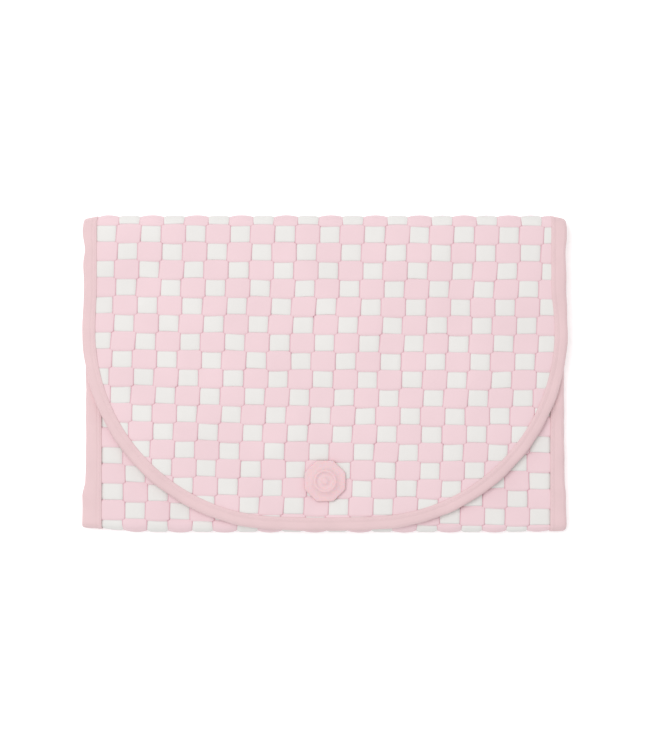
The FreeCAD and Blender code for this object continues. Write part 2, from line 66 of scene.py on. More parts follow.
MM = 0.001
RANDOM_SEED = 7
UP = np.array([0.0, 0.0, 1.0])

# ---- places that come from the CAD model ----


def middle_z(node):
    low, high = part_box(node)
    return (low.z + high.z) / 2


HALF_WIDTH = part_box("flap_binding")[1].x
TOP_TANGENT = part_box("flap_padding")[1].y
BOTTOM_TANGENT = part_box("back_padding")[0].y
FLAP_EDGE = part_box("flap_binding")[0].y
FRONT_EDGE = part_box("front_upper_binding")[1].y
FRONT_SPLIT_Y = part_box("front_lower_padding")[1].y
FLAP_Z = middle_z("flap_warp_straps")
FRONT_Z = middle_z("front_lower_warp_straps")
BACK_Z = middle_z("back_warp_straps")
LINING_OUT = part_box("flap_lining")[0].z - FLAP_Z
LINING_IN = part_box("flap_lining")[1].z - FLAP_Z
PADDING_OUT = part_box("flap_padding")[1].z - FLAP_Z
PANEL_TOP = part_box("flap_warp_straps")[1].z - FLAP_Z
BADGE_LOW, BADGE_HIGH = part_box("badge")
TOP_RADIUS = (FLAP_Z - BACK_Z) / 2
BOTTOM_RADIUS = (FRONT_Z - BACK_Z) / 2

# ---- the strip: a fold's roll is the radius that its own length of strap is taken at ----

TOP_ROLL = TOP_RADIUS + 0.8 * MM
BOTTOM_ROLL = BOTTOM_RADIUS + 0.9 * MM
FLAP_LENGTH = TOP_TANGENT - FLAP_EDGE
BACK_START = -math.pi * TOP_ROLL
BACK_END = BACK_START - (TOP_TANGENT - BOTTOM_TANGENT)
FRONT_START = BACK_END - math.pi * BOTTOM_ROLL
FRONT_SPLIT = FRONT_START - (FRONT_SPLIT_Y - BOTTOM_TANGENT)
FRONT_END = FRONT_START - (FRONT_EDGE - BOTTOM_TANGENT)

# How far the side tapes draw each fold in, and how far from the side that reaches.
TOP_DRAWN_IN = 2.3 * MM
TOP_DRAWN_WIDTH = 15 * MM
BOTTOM_LEFT_DRAWN_IN = 3.0 * MM
BOTTOM_RIGHT_DRAWN_IN = 1.1 * MM
BOTTOM_DRAWN_WIDTH = 22 * MM

# ---- the weave ----

FLAP_COLUMN_PITCH = 14.04 * MM
FRONT_COLUMN_PITCH = 14.16 * MM
FLAP_MIDDLE_COLUMN = 3.3 * MM
FRONT_MIDDLE_COLUMN = FRONT_COLUMN_PITCH / 2 + 0.7 * MM
COLUMN_LEAN = 0.051
FLAP_COLUMNS = range(-10, 11)
FRONT_COLUMNS = range(-10, 10)
FLAP_ROW_PITCH = 11.39 * MM
FLAP_PITCH_LOSS = 0.1 * MM
FLAP_PITCH_SPAN = 1.09
FLAP_PITCH_SHIFT = 0.35
FLAP_FIRST_ROW = 87.6 * MM
FLAP_ROW_TILT = 0.0045
FRONT_ROW_PITCH = 11.45 * MM
FRONT_LINE = -93.7 * MM
FRONT_LINE_TILT = 0.017
FRONT_LINE_ROW = -20.5
FLAP_ROWS = range(0, 18)
TOP_FOLD_ROWS = range(-2, 0)
BACK_ROWS = range(-19, -2)
BOTTOM_FOLD_ROWS = range(-20, -19)
FRONT_LOWER_ROWS = range(-28, -20)
FRONT_UPPER_ROWS = range(-36, -28)

WARP_HALF_WIDTH = 7.95 * MM
WARP_NARROWING = 1.15 * MM
WARP_NARROW_BELOW = -0.12
WARP_NARROW_FADE = 0.2
WEFT_HALF_WIDTH = 5.15 * MM
WEFT_NARROWING = 0.5 * MM
WEFT_NARROW_BELOW = -0.4
WEFT_NARROW_FADE = 0.8
STRAP_HALF_THICKNESS = 0.7 * MM
STRAP_INSET = 4 * MM
STRAP_END = HALF_WIDTH - STRAP_INSET
FRONT_STRAP_END = FRONT_END + STRAP_INSET
WEAVE_HEIGHT = 0.62 * MM
CROSSING_CROWN = 0.1
WARP_BIAS = 0.165
WEFT_BIAS = -0.22
WARP_STEEPNESS = 3.6
WEFT_STEEPNESS = 6.0
FOLD_CROWN = 1.1 * MM
FOLD_CROWN_LEVEL = 0.3
DRIFT_WAVES = (61 * MM, 34 * MM, 17 * MM)
DRIFT_SIZES = (0.2 * MM, 0.14 * MM, 0.08 * MM)
LEAST_RING_GAP = 0.2 * MM
CUT_TOLERANCE = 1e-9

Stretch = namedtuple("Stretch", "body s_high s_low columns rows")
STRETCHES = {
    "flap": Stretch("flap", FLAP_LENGTH, 0.0, FLAP_COLUMNS, FLAP_ROWS),
    "back": Stretch("back", BACK_START, BACK_END, FLAP_COLUMNS, BACK_ROWS),
    "front_lower": Stretch("front", FRONT_START, FRONT_SPLIT, FRONT_COLUMNS, FRONT_LOWER_ROWS),
    "front_upper": Stretch("front", FRONT_SPLIT, FRONT_END, FRONT_COLUMNS, FRONT_UPPER_ROWS),
    "top_fold": Stretch("back", 0.0, BACK_START, FLAP_COLUMNS, TOP_FOLD_ROWS),
    "bottom_fold": Stretch("back", BACK_END, FRONT_START, FRONT_COLUMNS, BOTTOM_FOLD_ROWS),
}
FOLDS = ("top_fold", "bottom_fold")

# ---- the binding tape ----

SIDES = (("left", -1), ("right", 1))
TAPE_WIDTH = 8.4 * MM
LEFT_TAPE_WIDTH = 9.4 * MM
RIGHT_TAPE_WIDTH = 10.6 * MM
FRONT_LEFT_TAPE_WIDTH = 11.8 * MM
WIDENING_LENGTH = 30 * MM
TAPE_WALL = 0.9 * MM
TAPE_TOP = PANEL_TOP + 0.45 * MM
TAPE_LOW = LINING_OUT + 0.05 * MM
TAPE_NOSE = 2.6 * MM
TAPE_STEP = 1.6 * MM
NOSE_STEPS = 10
EDGE_INSET = -1.1 * MM
TAPE_SEAM = 3.1 * MM
TAPE_LAP = 4.6 * MM
LAP_FADE = 0.3 * MM
TUCK = 0.12 * MM
TUCK_SHARE = 0.04
CORNER_ROOM = 1 * MM
FRONT_EDGE_STEPS = 170
TAPE_PRESS = 0.5
TAPE_PRESS_MARGIN = 0.2 * MM
TAPE_PRESS_FADE = 1.2 * MM

# The left side's edge bulges and draws in near the top fold: (place, width, size).
TOP_BULGES = ((0.0, 7 * MM, 1.0), (13 * MM, 4.5 * MM, -0.8), (24 * MM, 7 * MM, 0.7))
TOP_BULGE = 0.8 * MM
RIGHT_BULGE_SHARE = 0.55
BOTTOM_FLARE = 1.9 * MM
RIGHT_FLARE_SHARE = 0.45
FLARE_LENGTH = 17 * MM
FLARE_FADE = 10 * MM
WAIST = -0.7 * MM
WAIST_PLACE = 70 * MM
WAIST_LENGTH = 42 * MM

STITCH_INSET = 1.5 * MM
STITCH_PITCH = 2.9 * MM
STITCH_LENGTH = 1.9 * MM
STITCH_RADIUS = 0.17 * MM
STITCH_DIP = 0.4 * STITCH_RADIUS
STITCH_SIDES = 6
STITCH_LEVEL = TAPE_TOP + 0.03 * MM
STITCH_LINE_STEP = 2 * MM
FRONT_STITCH_LINE_STEPS = 120
# A stitch's rings: (place along its half length, share of its radius).
STITCH_STATIONS = ((-1.0, 0.25), (-0.8, 0.8), (-0.35, 1.0), (0.35, 1.0), (0.8, 0.8), (1.0, 0.25))

# ---- the flap's outline ----

CORNER_RADIUS = 125 * MM
BOTTOM_EDGE_RADIUS = 700 * MM
CORNER_X = HALF_WIDTH - CORNER_RADIUS
BOTTOM_EDGE_CENTRE = FLAP_EDGE + BOTTOM_EDGE_RADIUS
CORNER_Y = BOTTOM_EDGE_CENTRE - math.sqrt((BOTTOM_EDGE_RADIUS - CORNER_RADIUS) ** 2 - CORNER_X**2)
CORNER_TURN = math.atan2(CORNER_X, BOTTOM_EDGE_CENTRE - CORNER_Y)

# The pad lies on the back panel's straps, which are pressed flatter by it.
TABLE_CLEARANCE = 0.03 * MM
STITCH_ROOM = 0.25 * MM
PRESSED = (BACK_Z - TABLE_CLEARANCE) / (TAPE_TOP + STITCH_ROOM)
PRESS_FADE = 4 * MM

# ---- lining and padding ----

LINING_INSET = 6.5 * MM
PADDING_INSET = 3.2 * MM
LAYER_GAP = 0.06 * MM
LINING_SINK = 0.1 * MM
PADDING_SINK = 0.25 * MM
PUCKER = 0.07 * MM
PANEL_STEP = 5 * MM
FOLD_STEP = 1.5 * MM
OUTLINE_MARGIN = 0.999

# ---- the badge ----

BADGE_RELIEF = 0.35 * MM
BADGE_POINTS = 160
BADGE_RING = (6.9 * MM, 5.9 * MM)
BADGE_RING_WALL = 0.35 * MM
BADGE_CORNER = 0.082
BADGE_CORNER_ROUNDING = 0.13

# ---- colours ----

WARP_COLOUR = (0.79, 0.59, 0.625)
# Painted shade: the deeper tone on the pink straps' edges stands in for the thin contact shadow there.
WARP_EDGE_PAINTED_SHADE = (0.68, 0.40, 0.46)
WEFT_COLOUR = (0.75, 0.735, 0.715)
# Painted shade: the deeper tone on the white straps' edges stands in for the thin contact shadow
# there.
WEFT_EDGE_PAINTED_SHADE = (0.70, 0.68, 0.665)
TAPE_COLOUR = (0.735, 0.535, 0.55)
LINING_COLOUR = (0.83, 0.67, 0.69)
FOAM_COLOUR = (0.86, 0.85, 0.82)
BADGE_COLOUR = (0.765, 0.53, 0.555)
NICKEL_COLOUR = (0.5, 0.49, 0.48)
NICKEL_DARK = (0.44, 0.43, 0.42)
NICKEL_LIGHT = (0.56, 0.55, 0.54)
THREAD_COLOUR = (0.79, 0.58, 0.61)
FLOOR_COLOUR = (0.97, 0.97, 0.97)
WHITE = (1, 1, 1, 1)

# ---- camera, light and floor ----

PICTURE_HEIGHT = 470.7 * MM
LENS = 100.0
SENSOR = 36.0
CAMERA_AIM = -0.6 * MM
KEY_LIGHT_PLACE = (-0.45, 0.35, 1.7)
KEY_LIGHT_SIZE = 1.0
KEY_LIGHT_POWER = 14.5
WORLD_STRENGTH = 0.72
FLOOR_GLOW = 0.2
FLOOR_REACH = 8.0
FLOOR_LINES = 9


# -------- the strip


def smoothstep(t):
    t = np.clip(t, 0, 1)
    return t * t * (3 - 2 * t)


def in_fold(s, s_high, s_low):
    """From 0 at a fold's two ends to 1 at its middle."""
    return np.sin(math.pi * np.clip((s_high - s) / (s_high - s_low), 0, 1))


def pressed(s, n):
    """Heights above the strap plane, less where the pad rests on the table."""
    outside = np.maximum(np.maximum(s - BACK_START, BACK_END - s), 0)
    share = 1 - smoothstep(outside / PRESS_FADE)
    return np.where(n > 0, n * (1 - (1 - PRESSED) * share), n)


def top_fold_reach(x):
    """How far the top fold stands out, as a share: less where the side tapes hold it."""
    side = HALF_WIDTH - np.abs(x)
    held = 1 - smoothstep(side / TOP_DRAWN_WIDTH)
    return 1 - TOP_DRAWN_IN / (TOP_RADIUS + PANEL_TOP) * held


def bottom_fold_reach(x):
    """The same for the bottom fold, which draws in further at its left end."""
    side = HALF_WIDTH - np.abs(x)
    drawn_in = np.where(x < 0, BOTTOM_LEFT_DRAWN_IN, BOTTOM_RIGHT_DRAWN_IN)
    held = np.exp(-((side / BOTTOM_DRAWN_WIDTH) ** 2))
    return 1 - drawn_in / (BOTTOM_RADIUS + PANEL_TOP) * held


def place(x, s, n):
    """The point in space of a place on the strip, as an array whose last axis is x, y, z."""
    x, s, n = np.broadcast_arrays(x, s, n)
    n = pressed(s, n)
    top_turn = -s / TOP_ROLL
    bottom_turn = (BACK_END - s) / BOTTOM_ROLL
    back = s - BACK_START
    front = FRONT_START - s
    regions = [s >= 0, s >= BACK_START, s >= BACK_END, s >= FRONT_START]
    y = np.select(
        regions,
        [
            TOP_TANGENT - s,
            TOP_TANGENT + (TOP_RADIUS + n) * np.sin(top_turn) * top_fold_reach(x),
            TOP_TANGENT + back,
            BOTTOM_TANGENT - (BOTTOM_RADIUS + n) * np.sin(bottom_turn) * bottom_fold_reach(x),
        ],
        BOTTOM_TANGENT + front,
    )
    z = np.select(
        regions,
        [
            FLAP_Z + n,
            BACK_Z + TOP_RADIUS + (TOP_RADIUS + n) * np.cos(top_turn),
            BACK_Z - n,
            BACK_Z + BOTTOM_RADIUS - (BOTTOM_RADIUS + n) * np.cos(bottom_turn),
        ],
        FRONT_Z + n,
    )
    return np.stack([x, y, z], axis=-1)


def columns_at(s):
    """The place of the middle column and the columns' pitch, at s."""
    share = np.clip(s / FRONT_START, 0, 1)
    middle = FLAP_MIDDLE_COLUMN + share * (FRONT_MIDDLE_COLUMN - FLAP_MIDDLE_COLUMN)
    pitch = FLAP_COLUMN_PITCH + share * (FRONT_COLUMN_PITCH - FLAP_COLUMN_PITCH)
    return middle - COLUMN_LEAN * np.maximum(s, 0), pitch


def flap_pitch(x):
    """The rows' pitch on the flap, a little less towards its left side."""
    loss = (x / HALF_WIDTH * FLAP_PITCH_SPAN - FLAP_PITCH_SHIFT) ** 2
    return FLAP_ROW_PITCH - FLAP_PITCH_LOSS * loss


def row_at_top(x):
    return (FLAP_FIRST_ROW - FLAP_ROW_TILT * x - TOP_TANGENT) / flap_pitch(x)


def row_at_bottom(x):
    line = FRONT_LINE - FRONT_LINE_TILT * x
    return FRONT_LINE_ROW - (BOTTOM_TANGENT - line) / FRONT_ROW_PITCH


def row_at(x, s):
    """The row coordinate: whole numbers are the middles of weft straps."""
    top, bottom = row_at_top(x), row_at_bottom(x)
    on_flap = top + s / flap_pitch(x)
    between = top + (bottom - top) * s / FRONT_START
    on_front = bottom + (s - FRONT_START) / FRONT_ROW_PITCH
    return np.select([s >= 0, s >= FRONT_START], [on_flap, between], on_front)


def row_place(x, row):
    """The s of a row coordinate, which undoes row_at."""
    top, bottom = row_at_top(x), row_at_bottom(x)
    on_flap = (row - top) * flap_pitch(x)
    between = (row - top) / (bottom - top) * FRONT_START
    on_front = FRONT_START + (row - bottom) * FRONT_ROW_PITCH
    return np.select([row >= top, row >= bottom], [on_flap, between], on_front)


def flap_lowest(x, inset):
    """The flap's lower outline over x, as y, with the outline moved in by inset."""
    corner = CORNER_RADIUS - inset
    bottom = BOTTOM_EDGE_RADIUS - inset
    side = np.clip(np.abs(x), 0, CORNER_X + corner)
    on_corner = CORNER_Y - np.sqrt(np.maximum(corner**2 - (side - CORNER_X) ** 2, 0))
    on_bottom = BOTTOM_EDGE_CENTRE - np.sqrt(bottom**2 - side**2)
    return np.where(side > bottom * math.sin(CORNER_TURN), on_corner, on_bottom)


def flap_reach(y, inset):
    """How far the flap reaches to each side at y, with the outline moved in by inset."""
    corner = CORNER_RADIUS - inset
    bottom = BOTTOM_EDGE_RADIUS - inset
    drop = np.clip(CORNER_Y - y, 0, corner)
    on_corner = CORNER_X + np.sqrt(corner**2 - drop**2)
    on_bottom = np.sqrt(np.maximum(bottom**2 - (BOTTOM_EDGE_CENTRE - y) ** 2, 0))
    junction = BOTTOM_EDGE_CENTRE - bottom * math.cos(CORNER_TURN)
    return np.where(y < junction, on_bottom, on_corner)


def edge_depth(x, y):
    """How far a point of the flap lies in from the flap's outline."""
    side = np.abs(x)
    corner = CORNER_RADIUS - np.hypot(side - CORNER_X, y - CORNER_Y)
    bottom = BOTTOM_EDGE_RADIUS - np.hypot(side, y - BOTTOM_EDGE_CENTRE)
    turn = np.arctan2(side, BOTTOM_EDGE_CENTRE - y)
    depth = np.where(turn < CORNER_TURN, bottom, corner)
    return np.where(y > CORNER_Y, HALF_WIDTH - side, depth)


# -------- mesh helpers


def mesh_object(name, points, faces, material, sharp_loops=()):
    """A smooth-shaded mesh; sharp_loops are rings of points whose edges stay sharp."""
    mesh = bpy.data.meshes.new(name)
    mesh.from_pydata(np.asarray(points).reshape(-1, 3).tolist(), [], faces)
    mesh.shade_smooth()
    mesh.materials.append(material)
    if len(sharp_loops):
        sharp = {frozenset(pair) for loop in sharp_loops for pair in zip(loop, np.roll(loop, -1))}
        flags = [frozenset(edge.vertices) in sharp for edge in mesh.edges]
        mesh.attributes.new("sharp_edge", "BOOLEAN", "EDGE").data.foreach_set("value", flags)
    mesh.validate()
    shells = bmesh.new()
    shells.from_mesh(mesh)
    bmesh.ops.recalc_face_normals(shells, faces=shells.faces)
    shells.to_mesh(mesh)
    shells.free()
    made = bpy.data.objects.new(name, mesh)
    bpy.context.scene.collection.objects.link(made)
    return made


def grid_quads(rows, columns):
    """The index of each point of a grid, and the quads between them."""
    index = np.arange(rows * columns).reshape(rows, columns)
    quads = np.stack([index[:-1, :-1], index[:-1, 1:], index[1:, 1:], index[1:, :-1]], axis=-1)
    return index, quads


def tubes_object(name, tubes, material):
    """Tubes with closed ends, each an array of rings of points, as one object."""
    points, faces, ends = [], [], []
    start = 0
    for tube in tubes:
        rings, around = tube.shape[:2]
        index = start + np.arange(rings * around).reshape(rings, around)
        following = np.roll(index, -1, axis=1)
        sides = np.stack([index[:-1], following[:-1], following[1:], index[1:]], axis=-1)
        faces += sides.reshape(-1, 4).tolist()
        faces += [index[0, ::-1].tolist(), index[-1].tolist()]
        ends += [index[0].tolist(), index[-1].tolist()]
        points.append(tube.reshape(-1, 3))
        start += rings * around
    return mesh_object(name, np.concatenate(points), faces, material, ends)


def slab_object(name, x, s, n_low, n_high, material):
    """A thin closed slab over a grid of places on the strip, between two heights."""
    first = place(x, s, n_high).reshape(-1, 3)
    second = place(x, s, n_low).reshape(-1, 3)
    index, quads = grid_quads(*x.shape)
    faces = quads.reshape(-1, 4).tolist()
    faces += (quads[..., ::-1] + index.size).reshape(-1, 4).tolist()
    rim = np.concatenate([index[0, :-1], index[:-1, -1], index[-1, :0:-1], index[:0:-1, 0]])
    rim_below = rim + index.size
    walls = np.stack([rim, rim_below, np.roll(rim_below, -1), np.roll(rim, -1)], axis=-1)
    faces += walls.tolist()
    return mesh_object(name, np.concatenate([first, second]), faces, material)


def ride_for(piece, body, slot, *nodes):
    """Puts a piece on its body, in place of its CAD nodes; slot is not used."""
    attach(piece, body)
    if nodes:
        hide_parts(*nodes)


# -------- materials


def new_material(name, colour, roughness, sheen=0.0):
    material = bpy.data.materials.new(name)
    material.use_nodes = True
    shader = material.node_tree.nodes["Principled BSDF"]
    shader.inputs["Base Color"].default_value = (*colour, 1)
    shader.inputs["Roughness"].default_value = roughness
    shader.inputs["Sheen Weight"].default_value = sheen
    shader.inputs["Sheen Roughness"].default_value = 0.5
    return material, material.node_tree, shader


def add_node(tree, kind, **inputs):
    node = tree.nodes.new(kind)
    for key, value in inputs.items():
        node.inputs[key.replace("_", " ")].default_value = value
    return node


def object_places(tree):
    return tree.nodes.new("ShaderNodeTexCoord").outputs["Object"]


def noise(tree, scale, detail=3.0, roughness=0.5):
    node = add_node(tree, "ShaderNodeTexNoise", Scale=scale, Detail=detail, Roughness=roughness)
    tree.links.new(object_places(tree), node.inputs["Vector"])
    return node.outputs["Fac"]


def bands(tree, direction, scale, distortion=0.0):
    node = add_node(tree, "ShaderNodeTexWave", Scale=scale, Distortion=distortion)
    node.bands_direction = direction
    tree.links.new(object_places(tree), node.inputs["Vector"])
    return node.outputs["Fac"]


def combine(tree, operation, first, second):
    node = tree.nodes.new("ShaderNodeMath")
    node.operation = operation
    for socket, value in zip(node.inputs, (first, second)):
        if isinstance(value, float):
            socket.default_value = value
        else:
            tree.links.new(value, socket)
    return node.outputs[0]


def vary_colour(tree, shader, mask, dark, light):
    """Base colour between two tones, driven by a mask."""
    ramp = tree.nodes.new("ShaderNodeValToRGB")
    for element, position, tone in zip(ramp.color_ramp.elements, (0.3, 0.7), (dark, light)):
        element.position = position
        element.color = (*tone, 1)
    tree.links.new(mask, ramp.inputs["Fac"])
    tree.links.new(ramp.outputs["Color"], shader.inputs["Base Color"])


def vary_roughness(tree, shader, mask, low, high):
    spread = add_node(tree, "ShaderNodeMapRange", To_Min=low, To_Max=high)
    tree.links.new(mask, spread.inputs["Value"])
    tree.links.new(spread.outputs["Result"], shader.inputs["Roughness"])


def add_bump(tree, shader, height, distance, strength):
    bump = add_node(tree, "ShaderNodeBump", Distance=distance, Strength=strength)
    tree.links.new(height, bump.inputs["Height"])
    tree.links.new(bump.outputs["Normal"], shader.inputs["Normal"])


def tones(colour, change):
    """A darker and a lighter tone of a colour."""
    return [c * (1 - change) for c in colour], [min(c * (1 + change), 1.0) for c in colour]


def paint_edge_shade(tree, shader, colour):
    """Painted shade along the folded edges of the straps, from the mesh's own edge value: a deeper
    tone in place of the thin contact shadow there.
    """
    base = shader.inputs["Base Color"].links[0].from_socket
    edge = tree.nodes.new("ShaderNodeAttribute")
    edge.attribute_name = "edge"
    mix = tree.nodes.new("ShaderNodeMix")
    mix.data_type = "RGBA"
    first, second = [socket for socket in mix.inputs if socket.type == "RGBA"]
    (mixed,) = [socket for socket in mix.outputs if socket.type == "RGBA"]
    tree.links.new(edge.outputs["Fac"], mix.inputs["Factor"])
    tree.links.new(base, first)
    second.default_value = (*colour, 1)
    tree.links.new(mixed, shader.inputs["Base Color"])


def knit_material(name, colour, edge_shade_colour, along):
    """Fine knitted strap: ribs along the strap, courses across them, soft fuzz, and painted shade
    along its edges.
    """
    material, tree, shader = new_material(name, colour, roughness=0.88, sheen=0.08)
    across = "X" if along == "Y" else "Y"
    ribs = bands(tree, across, scale=260.0, distortion=0.6)
    courses = bands(tree, along, scale=338.0, distortion=0.9)
    loops = combine(tree, "MULTIPLY", ribs, courses)
    fuzz = noise(tree, scale=2600.0)
    height = combine(tree, "ADD", loops, combine(tree, "MULTIPLY", fuzz, 0.6))
    add_bump(tree, shader, height, distance=0.05 * MM, strength=0.55)
    patches = combine(tree, "MULTIPLY", noise(tree, scale=38.0), 0.75)
    mask = combine(tree, "ADD", patches, combine(tree, "MULTIPLY", fuzz, 0.25))
    vary_colour(tree, shader, mask, *tones(colour, change=0.025))
    # Painted shade: a deeper tone along the straps' folded edges, in place of the contact shadow
    # there.
    paint_edge_shade(tree, shader, edge_shade_colour)
    vary_roughness(tree, shader, fuzz, low=0.8, high=0.95)
    return material


def tape_material():
    """Stretch tape: a fine diagonal twill with faint puckers."""
    material, tree, shader = new_material("binding_tape_twill", TAPE_COLOUR, roughness=0.8, sheen=0.1)
    twill = bands(tree, "DIAGONAL", scale=330.0, distortion=0.4)
    puckers = noise(tree, scale=160.0, detail=2.0)
    height = combine(tree, "ADD", combine(tree, "MULTIPLY", twill, 0.35), puckers)
    add_bump(tree, shader, height, distance=0.1 * MM, strength=0.5)
    vary_colour(tree, shader, noise(tree, scale=55.0), *tones(TAPE_COLOUR, change=0.03))
    vary_roughness(tree, shader, twill, low=0.72, high=0.9)
    return material


def lining_material():
    """Coated wipe-clean cloth: a faint ripstop grid under a low sheen."""
    material, tree, shader = new_material("lining_coated_cloth", LINING_COLOUR, roughness=0.45)
    grid = combine(tree, "MAXIMUM", bands(tree, "X", scale=62.0), bands(tree, "Y", scale=62.0))
    ridges = combine(tree, "POWER", grid, 8.0)
    cloth = noise(tree, scale=1500.0, detail=2.0)
    height = combine(tree, "ADD", ridges, combine(tree, "MULTIPLY", cloth, 0.5))
    add_bump(tree, shader, height, distance=0.05 * MM, strength=0.6)
    vary_colour(tree, shader, noise(tree, scale=18.0), *tones(LINING_COLOUR, change=0.03))
    vary_roughness(tree, shader, cloth, low=0.38, high=0.52)
    return material


def foam_material():
    """Open-cell foam: small pores in an off-white body."""
    material, tree, shader = new_material("padding_foam", FOAM_COLOUR, roughness=0.95)
    cells = add_node(tree, "ShaderNodeTexVoronoi", Scale=1400.0)
    tree.links.new(object_places(tree), cells.inputs["Vector"])
    add_bump(tree, shader, cells.outputs["Distance"], distance=0.15 * MM, strength=0.8)
    vary_colour(tree, shader, noise(tree, scale=30.0), *tones(FOAM_COLOUR, change=0.04))
    return material


def silicone_material():
    """Matte moulded silicone with a fine grain."""
    material, tree, shader = new_material("badge_silicone", BADGE_COLOUR, roughness=0.5)
    shader.inputs["Subsurface Weight"].default_value = 0.12
    shader.inputs["Subsurface Scale"].default_value = 1.5 * MM
    grain = noise(tree, scale=3200.0, detail=2.0)
    add_bump(tree, shader, grain, distance=0.02 * MM, strength=0.5)
    vary_colour(tree, shader, noise(tree, scale=90.0), *tones(BADGE_COLOUR, change=0.02))
    vary_roughness(tree, shader, noise(tree, scale=240.0), low=0.44, high=0.58)
    return material


def metal_material():
    """Satin nickel with faint turning marks."""
    material, tree, shader = new_material("snap_satin_nickel", NICKEL_COLOUR, roughness=0.35)
    shader.inputs["Metallic"].default_value = 1.0
    marks = noise(tree, scale=900.0, detail=4.0, roughness=0.7)
    add_bump(tree, shader, marks, distance=0.01 * MM, strength=0.4)
    vary_colour(tree, shader, noise(tree, scale=300.0), NICKEL_DARK, NICKEL_LIGHT)
    vary_roughness(tree, shader, marks, low=0.22, high=0.42)
    return material


def thread_material():
    """Twisted sewing thread, close to the tape's colour."""
    material, tree, shader = new_material("stitch_thread", THREAD_COLOUR, roughness=0.7, sheen=0.2)
    twist = bands(tree, "DIAGONAL", scale=900.0)
    add_bump(tree, shader, twist, distance=0.05 * MM, strength=0.6)
    vary_colour(tree, shader, twist, *tones(THREAD_COLOUR, change=0.04))
    return material


def floor_material():
    """A plain pale floor that glows a little, so that it stays white under the soft light."""
    material, tree, shader = new_material("floor_pale", FLOOR_COLOUR, roughness=0.9)
    vary_colour(tree, shader, noise(tree, scale=4.0), *tones(FLOOR_COLOUR, change=0.004))
    shader.inputs["Emission Color"].default_value = WHITE
    shader.inputs["Emission Strength"].default_value = FLOOR_GLOW
    return material


warp_knit = knit_material("warp_knit", WARP_COLOUR, WARP_EDGE_PAINTED_SHADE, "Y")
weft_knit = knit_material("weft_knit", WEFT_COLOUR, WEFT_EDGE_PAINTED_SHADE, "X")
tape_twill = tape_material()
lining_cloth = lining_material()
foam = foam_material()
silicone = silicone_material()
nickel = metal_material()
thread = thread_material()


# -------- straps

# Across a strap from edge to edge and back underneath: place across, and side up or down.
TOP_STEPS = np.array([-1, -0.985, -0.95, -0.88, -0.7, -0.35, 0, 0.35, 0.7, 0.88, 0.95, 0.985, 1])
UNDER_STEPS = np.array([0.95, 0.7, 0, -0.7, -0.95])
RING_ACROSS = np.concatenate([TOP_STEPS, UNDER_STEPS])
RING_SIDE = np.concatenate([np.ones(len(TOP_STEPS)), -np.ones(len(UNDER_STEPS))])
RING_SQUARENESS = 8
RING_CROWN = 0.12
RING_ROUNDING = np.sqrt(1 - np.abs(RING_ACROSS) ** RING_SQUARENESS)
RING_RISE = RING_SIDE * RING_ROUNDING * (1 - RING_CROWN * RING_ACROSS**2)

# From 0 on a strap's face to 1 on its folded edges, for the painted shade there: a deeper tone that
# stands in for the thin contact shadow along each edge.
EDGE_SHADE_START = 0.9
EDGE_SHADE_FADE = 0.08
RING_EDGE_SHADE = smoothstep((np.abs(RING_ACROSS) - EDGE_SHADE_START) / EDGE_SHADE_FADE)

# Where the rings of a strap lie within one crossing, closer together where it steps.
CROSSING_STEPS = np.array([0, 0.2, 0.34, 0.42, 0.47, 0.5, 0.53, 0.58, 0.66, 0.8])


def over_under(swing, bias, steepness):
    """From -1 under a crossing to 1 over it, with a slight crown on top."""
    step = np.tanh(steepness * (swing + bias)) / math.tanh(steepness * (1 + abs(bias)))
    return step * (1 - CROSSING_CROWN) + CROSSING_CROWN * swing


def drift(length, key):
    """A small smooth wandering along a strap, different for each key."""
    source = np.random.default_rng([RANDOM_SEED, *[abs(k) * 2 + (k < 0) for k in key]])
    phases = source.uniform(0, 2 * math.pi, len(DRIFT_WAVES))
    waves = zip(DRIFT_WAVES, DRIFT_SIZES, phases)
    return sum(size * np.sin(2 * math.pi * length / wave + phase) for wave, size, phase in waves)


def press_under_tape(n, depth):
    """Straps lie flatter where the tape holds them; depth is the way in from the edge."""
    held = smoothstep((TAPE_WIDTH + TAPE_PRESS_MARGIN - depth) / TAPE_PRESS_FADE)
    return n * (1 - TAPE_PRESS * held)


def crossing_steps(first, last):
    """Where a strap's rings lie, in crossings, over a range that covers first to last."""
    whole = np.arange(math.floor(first) - 1, math.ceil(last) + 2)
    return (whole[:, None] + CROSSING_STEPS).ravel()


def between_ends(places, low, high):
    """The places between two ends, with the ends themselves."""
    inside = (places > low + LEAST_RING_GAP) & (places < high - LEAST_RING_GAP)
    return np.concatenate([[low], places[inside], [high]])


def warp_tube(column, s_high, s_low):
    """One pink strap along the strip, between two places."""
    middle, pitch = columns_at(np.array([s_high, s_low]))
    x_guess = np.clip(middle + column * pitch, -HALF_WIDTH, HALF_WIDTH)
    last, first = row_at(x_guess, np.array([s_high, s_low]))
    s = between_ends(row_place(x_guess.mean(), crossing_steps(first, last)), s_low, s_high)
    middle, pitch = columns_at(s)
    x = middle + column * pitch + drift(s, (1, column))
    swing = -np.cos(math.pi * (row_at(x, s) + column))
    under = 1 - smoothstep((swing - WARP_NARROW_BELOW) / WARP_NARROW_FADE)
    half = WARP_HALF_WIDTH - WARP_NARROWING * under
    ring_x = x[:, None] + RING_ACROSS * half[:, None]
    ring_s = np.broadcast_to(s[:, None], ring_x.shape)
    level = WEAVE_HEIGHT * over_under(swing, WARP_BIAS, WARP_STEEPNESS)
    folded = in_fold(s, 0.0, BACK_START) + in_fold(s, BACK_END, FRONT_START)
    crown = FOLD_CROWN * folded[:, None] * (FOLD_CROWN_LEVEL - RING_ACROSS**2)
    ring_n = level[:, None] + RING_RISE * STRAP_HALF_THICKNESS + crown
    return ring_x, ring_s, ring_n


